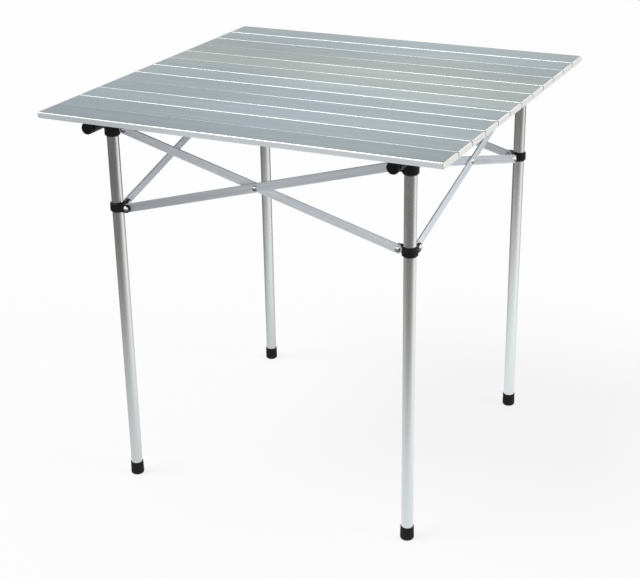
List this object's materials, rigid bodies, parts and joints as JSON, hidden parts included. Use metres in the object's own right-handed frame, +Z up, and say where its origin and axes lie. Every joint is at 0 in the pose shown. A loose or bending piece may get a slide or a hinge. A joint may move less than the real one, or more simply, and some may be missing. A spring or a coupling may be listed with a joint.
{
  "type": "roll top camp table",
  "caption": "Square folding camp table: a slatted aluminium roll-up top on side rails, over a scissor frame of crossed bars, sliding collars and round legs with rubber feet.",
  "frame": {"origin": "on the floor, under the middle of the top", "axes": "+Z up, +X right along the slats, +Y to the rear across the slats"},
  "size_m": [0.7, 0.6992, 0.69],
  "materials": {
    "slat": "fine brushed, anodised",
    "plug": "pale moulded",
    "leg_tube": "satin",
    "bar_tube": "satin",
    "rivet": "polished",
    "bracket": "moulded",
    "rail": "black coated",
    "foot_rubber": "matte",
    "cord": "braided sleeve"
  },
  "bodies": {
    "front_left_post": {"front_left_leg": "leg_tube", "front_left_foot": "foot_rubber", "front_left_head": "bracket"},
    "front_right_post": {"front_right_leg": "leg_tube", "front_right_foot": "foot_rubber", "front_right_head": "bracket"},
    "rear_right_post": {"rear_right_leg": "leg_tube", "rear_right_foot": "foot_rubber", "rear_right_head": "bracket"},
    "rear_left_post": {"rear_left_leg": "leg_tube", "rear_left_foot": "foot_rubber", "rear_left_head": "bracket"},
    "front_left_slider": {"front_left_collar": "bracket"},
    "front_right_slider": {"front_right_collar": "bracket"},
    "rear_right_slider": {"rear_right_collar": "bracket"},
    "rear_left_slider": {"rear_left_collar": "bracket"},
    "front_outer_brace": {"front_outer_bar": "bar_tube", "front_outer_bar_rivets": "rivet"},
    "front_inner_brace": {"front_inner_bar": "bar_tube", "front_inner_bar_rivets": "rivet"},
    "right_outer_brace": {"right_outer_bar": "bar_tube", "right_outer_bar_rivets": "rivet"},
    "right_inner_brace": {"right_inner_bar": "bar_tube", "right_inner_bar_rivets": "rivet"},
    "rear_outer_brace": {"rear_outer_bar": "bar_tube", "rear_outer_bar_rivets": "rivet"},
    "rear_inner_brace": {"rear_inner_bar": "bar_tube", "rear_inner_bar_rivets": "rivet"},
    "left_outer_brace": {"left_outer_bar": "bar_tube", "left_outer_bar_rivets": "rivet"},
    "left_inner_brace": {"left_inner_bar": "bar_tube", "left_inner_bar_rivets": "rivet"},
    "top_slat_01": {"slat_01": "slat", "slat_01_plugs": "plug", "left_shock_cord": "cord", "right_shock_cord": "cord"},
    "top_slat_02": {"slat_02": "slat", "slat_02_plugs": "plug"},
    "top_slat_03": {"slat_03": "slat", "slat_03_plugs": "plug"},
    "top_slat_04": {"slat_04": "slat", "slat_04_plugs": "plug"},
    "top_slat_05": {"slat_05": "slat", "slat_05_plugs": "plug"},
    "top_slat_06": {"slat_06": "slat", "slat_06_plugs": "plug"},
    "top_slat_07": {"slat_07": "slat", "slat_07_plugs": "plug"},
    "top_slat_08": {"slat_08": "slat", "slat_08_plugs": "plug"},
    "top_slat_09": {"slat_09": "slat", "slat_09_plugs": "plug"},
    "top_slat_10": {"slat_10": "slat", "slat_10_plugs": "plug"},
    "top_slat_11": {"slat_11": "slat", "slat_11_plugs": "plug"},
    "top_slat_12": {"slat_12": "slat", "slat_12_plugs": "plug"},
    "left_side_rail": {"left_rail": "rail"},
    "right_side_rail": {"right_rail": "rail"}
  },
  "joints": [
    {"name": "frame_fold", "type": "hinge", "parent": "front_left_post", "child": "front_inner_brace", "pos_m": [-0.244, -0.265, 0.6492], "axis": [0, 1, 0], "range_deg": [0, 65]},
    {"name": "front_cross_pivot", "type": "hinge", "parent": "front_inner_brace", "child": "front_outer_brace", "pos_m": [0, -0.265, 0.5817], "axis": [0, -1, 0], "range_deg": [0, 130.01]},
    {"name": "front_right_head_pivot", "type": "hinge", "parent": "front_outer_brace", "child": "front_right_post", "pos_m": [0.244, -0.265, 0.6492], "axis": [0, 1, 0], "range_deg": [0, 65.01]},
    {"name": "front_left_collar_pivot", "type": "hinge", "parent": "front_outer_brace", "child": "front_left_slider", "pos_m": [-0.244, -0.265, 0.5142], "axis": [0, 1, 0], "range_deg": [0, 65.01]},
    {"name": "front_right_collar_pivot", "type": "hinge", "parent": "front_inner_brace", "child": "front_right_slider", "pos_m": [0.244, -0.265, 0.5142], "axis": [0, -1, 0], "range_deg": [0, 65.01]},
    {"name": "right_inner_bar_pivot", "type": "hinge", "parent": "front_right_post", "child": "right_inner_brace", "pos_m": [0.265, -0.244, 0.6492], "axis": [-1, 0, 0], "range_deg": [0, 65.01]},
    {"name": "right_cross_pivot", "type": "hinge", "parent": "right_inner_brace", "child": "right_outer_brace", "pos_m": [0.265, 0, 0.5817], "axis": [1, 0, 0], "range_deg": [0, 130.01]},
    {"name": "rear_right_head_pivot", "type": "hinge", "parent": "right_outer_brace", "child": "rear_right_post", "pos_m": [0.265, 0.244, 0.6492], "axis": [-1, 0, 0], "range_deg": [0, 65.01]},
    {"name": "rear_right_collar_pivot", "type": "hinge", "parent": "right_inner_brace", "child": "rear_right_slider", "pos_m": [0.265, 0.244, 0.5142], "axis": [1, 0, 0], "range_deg": [0, 65.01]},
    {"name": "rear_inner_bar_pivot", "type": "hinge", "parent": "rear_right_post", "child": "rear_inner_brace", "pos_m": [0.244, 0.265, 0.6492], "axis": [0, -1, 0], "range_deg": [0, 65.01]},
    {"name": "rear_cross_pivot", "type": "hinge", "parent": "rear_inner_brace", "child": "rear_outer_brace", "pos_m": [0, 0.265, 0.5817], "axis": [0, 1, 0], "range_deg": [0, 130.01]},
    {"name": "left_outer_bar_pivot", "type": "hinge", "parent": "front_left_post", "child": "left_outer_brace", "pos_m": [-0.265, -0.244, 0.6492], "axis": [-1, 0, 0], "range_deg": [0, 65.01]},
    {"name": "left_cross_pivot", "type": "hinge", "parent": "left_outer_brace", "child": "left_inner_brace", "pos_m": [-0.265, 0, 0.5817], "axis": [1, 0, 0], "range_deg": [0, 130.01]},
    {"name": "rear_left_head_pivot", "type": "hinge", "parent": "left_inner_brace", "child": "rear_left_post", "pos_m": [-0.265, 0.244, 0.6492], "axis": [-1, 0, 0], "range_deg": [0, 65.01]},
    {"name": "rear_left_collar_pivot", "type": "hinge", "parent": "left_outer_brace", "child": "rear_left_slider", "pos_m": [-0.265, 0.244, 0.5142], "axis": [1, 0, 0], "range_deg": [0, 65.01]},
    {"name": "top_lift", "type": "slide", "parent": "front_left_post", "child": "top_slat_01", "axis": [0, 0, 1], "range_m": [0, 0.25]},
    {"name": "left_rail_lift", "type": "slide", "parent": "front_left_post", "child": "left_side_rail", "axis": [0, 0, 1], "range_m": [0, 0.1255]},
    {"name": "right_rail_lift", "type": "slide", "parent": "front_right_post", "child": "right_side_rail", "axis": [0, 0, 1], "range_m": [0, 0.1255]},
    {"name": "top_roll", "type": "hinge", "parent": "top_slat_01", "child": "top_slat_02", "pos_m": [0, -0.29167, 0.69], "axis": [1, 0, 0], "range_deg": [0, 38], "deforming": ["left_shock_cord", "right_shock_cord"]},
    {"name": "slat_hinge_02", "type": "hinge", "parent": "top_slat_02", "child": "top_slat_03", "pos_m": [0, -0.23333, 0.69], "axis": [1, 0, 0], "range_deg": [0, 41.05]},
    {"name": "slat_hinge_03", "type": "hinge", "parent": "top_slat_03", "child": "top_slat_04", "pos_m": [0, -0.175, 0.69], "axis": [1, 0, 0], "range_deg": [0, 44.33]},
    {"name": "slat_hinge_04", "type": "hinge", "parent": "top_slat_04", "child": "top_slat_05", "pos_m": [0, -0.11667, 0.69], "axis": [1, 0, 0], "range_deg": [0, 47.88]},
    {"name": "slat_hinge_05", "type": "hinge", "parent": "top_slat_05", "child": "top_slat_06", "pos_m": [0, -0.05833, 0.69], "axis": [1, 0, 0], "range_deg": [0, 51.71]},
    {"name": "slat_hinge_06", "type": "hinge", "parent": "top_slat_06", "child": "top_slat_07", "pos_m": [0, 0, 0.69], "axis": [1, 0, 0], "range_deg": [0, 55.84]},
    {"name": "slat_hinge_07", "type": "hinge", "parent": "top_slat_07", "child": "top_slat_08", "pos_m": [0, 0.05833, 0.69], "axis": [1, 0, 0], "range_deg": [0, 60.31]},
    {"name": "slat_hinge_08", "type": "hinge", "parent": "top_slat_08", "child": "top_slat_09", "pos_m": [0, 0.11667, 0.69], "axis": [1, 0, 0], "range_deg": [0, 65.13]},
    {"name": "slat_hinge_09", "type": "hinge", "parent": "top_slat_09", "child": "top_slat_10", "pos_m": [0, 0.175, 0.69], "axis": [1, 0, 0], "range_deg": [0, 70.34]},
    {"name": "slat_hinge_10", "type": "hinge", "parent": "top_slat_10", "child": "top_slat_11", "pos_m": [0, 0.23333, 0.69], "axis": [1, 0, 0], "range_deg": [0, 75.97]},
    {"name": "slat_hinge_11", "type": "hinge", "parent": "top_slat_11", "child": "top_slat_12", "pos_m": [0, 0.29167, 0.69], "axis": [1, 0, 0], "range_deg": [0, 82.05]}
  ],
  "couplings": [
    {"joint": "front_cross_pivot", "follows": "frame_fold", "ratio": 2},
    {"joint": "front_right_head_pivot", "follows": "frame_fold", "ratio": 1},
    {"joint": "front_left_collar_pivot", "follows": "frame_fold", "ratio": 1},
    {"joint": "front_right_collar_pivot", "follows": "frame_fold", "ratio": 1},
    {"joint": "right_inner_bar_pivot", "follows": "frame_fold", "ratio": 1},
    {"joint": "right_cross_pivot", "follows": "frame_fold", "ratio": 2},
    {"joint": "rear_right_head_pivot", "follows": "frame_fold", "ratio": 1},
    {"joint": "rear_right_collar_pivot", "follows": "frame_fold", "ratio": 1},
    {"joint": "rear_inner_bar_pivot", "follows": "frame_fold", "ratio": 1},
    {"joint": "rear_cross_pivot", "follows": "frame_fold", "ratio": 2},
    {"joint": "left_outer_bar_pivot", "follows": "frame_fold", "ratio": 1},
    {"joint": "left_cross_pivot", "follows": "frame_fold", "ratio": 2},
    {"joint": "rear_left_head_pivot", "follows": "frame_fold", "ratio": 1},
    {"joint": "rear_left_collar_pivot", "follows": "frame_fold", "ratio": 1},
    {"joint": "left_rail_lift", "follows": "top_lift", "ratio": 0.5},
    {"joint": "right_rail_lift", "follows": "top_lift", "ratio": 0.5},
    {"joint": "slat_hinge_02", "follows": "top_roll", "ratio": 1.08},
    {"joint": "slat_hinge_03", "follows": "top_roll", "ratio": 1.1664},
    {"joint": "slat_hinge_04", "follows": "top_roll", "ratio": 1.2597},
    {"joint": "slat_hinge_05", "follows": "top_roll", "ratio": 1.3605},
    {"joint": "slat_hinge_06", "follows": "top_roll", "ratio": 1.4693},
    {"joint": "slat_hinge_07", "follows": "top_roll", "ratio": 1.5869},
    {"joint": "slat_hinge_08", "follows": "top_roll", "ratio": 1.7138},
    {"joint": "slat_hinge_09", "follows": "top_roll", "ratio": 1.8509},
    {"joint": "slat_hinge_10", "follows": "top_roll", "ratio": 1.999},
    {"joint": "slat_hinge_11", "follows": "top_roll", "ratio": 2.1589}
  ]
}
